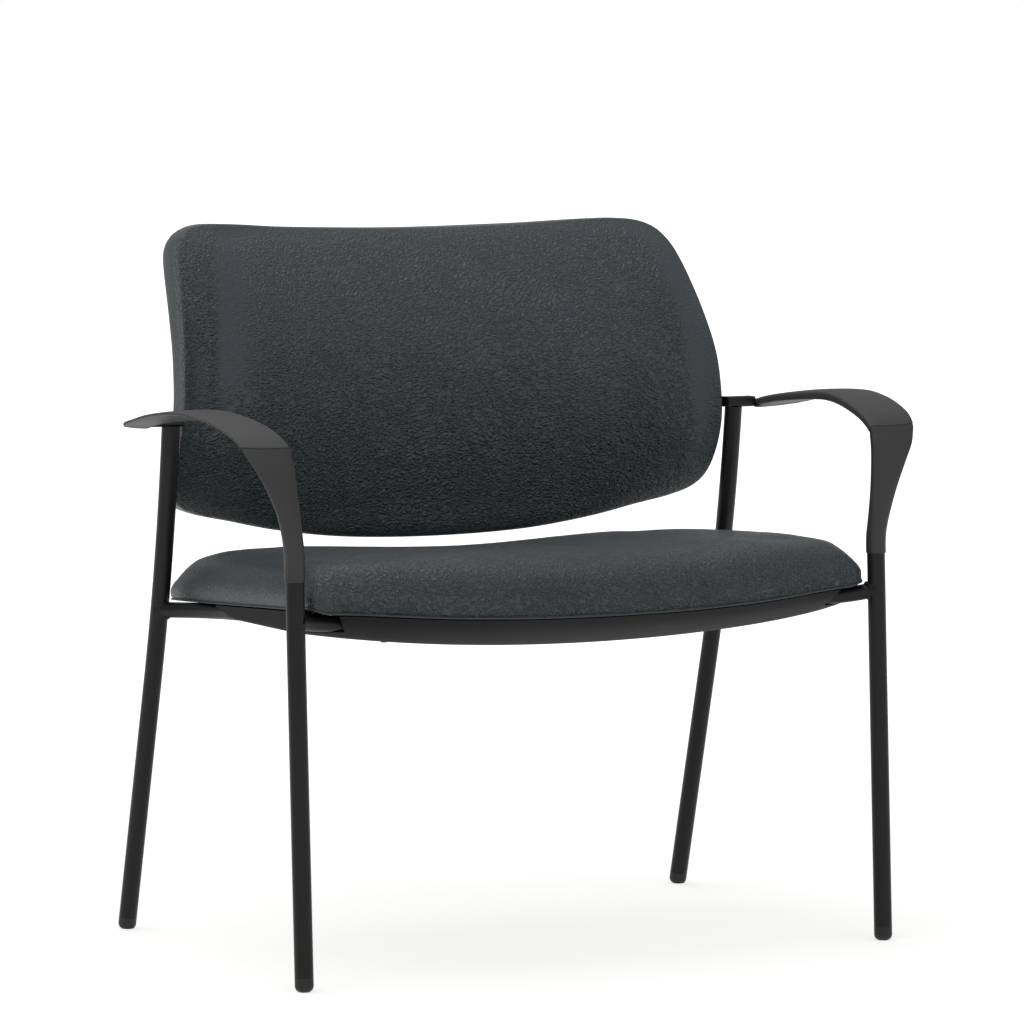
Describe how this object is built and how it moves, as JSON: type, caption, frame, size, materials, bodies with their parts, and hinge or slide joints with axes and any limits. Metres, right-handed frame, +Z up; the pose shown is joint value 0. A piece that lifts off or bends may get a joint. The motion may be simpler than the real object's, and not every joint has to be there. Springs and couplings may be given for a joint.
{
  "type": "reception chair",
  "caption": "Wide reception chair with a round tube frame, swept arms and a padded seat and back.",
  "frame": {"origin": "on the floor below the middle of the chair's bounding box", "axes": "+X to the right seen from the front, +Y to the rear, +Z up"},
  "size_m": [0.9476, 0.6033, 0.8664],
  "materials": {
    "black_steel": "satin black powder coat",
    "arm_grey": "fine matte grain",
    "pan_grey": "fine matte grain",
    "nylon": "smooth, half matte",
    "vinyl": "grained vinyl upholstery with a soft sheen",
    "plywood": "bare moulded plywood",
    "zinc": "zinc plated"
  },
  "bodies": {
    "root": {"front_leg_left": "black_steel", "front_leg_right": "black_steel", "rear_leg_left": "black_steel", "rear_leg_right": "black_steel", "side_rail_left": "black_steel", "side_rail_right": "black_steel", "front_cross_rail": "black_steel", "rear_cross_rail": "black_steel", "seat_tabs": "black_steel", "glide_front_left": "nylon", "glide_front_right": "nylon", "glide_rear_left": "nylon", "glide_rear_right": "nylon", "arm_left": "arm_grey", "arm_right": "arm_grey", "arm_pad_left": "arm_grey", "arm_pad_right": "arm_grey", "arm_stud_left": "zinc", "arm_stud_right": "zinc", "back_bracket_left": "black_steel", "back_bracket_right": "black_steel", "bracket_bolts": "zinc", "bracket_nuts": "zinc", "back_board": "plywood", "back_cushion": "vinyl", "back_rear_panel": "vinyl", "seat_board": "plywood", "seat_cushion": "vinyl", "seat_bolts": "zinc", "seat_nuts": "zinc", "seat_pan": "pan_grey", "pan_screws": "zinc", "pan_blocks": "pan_grey"}
  },
  "joints": []
}
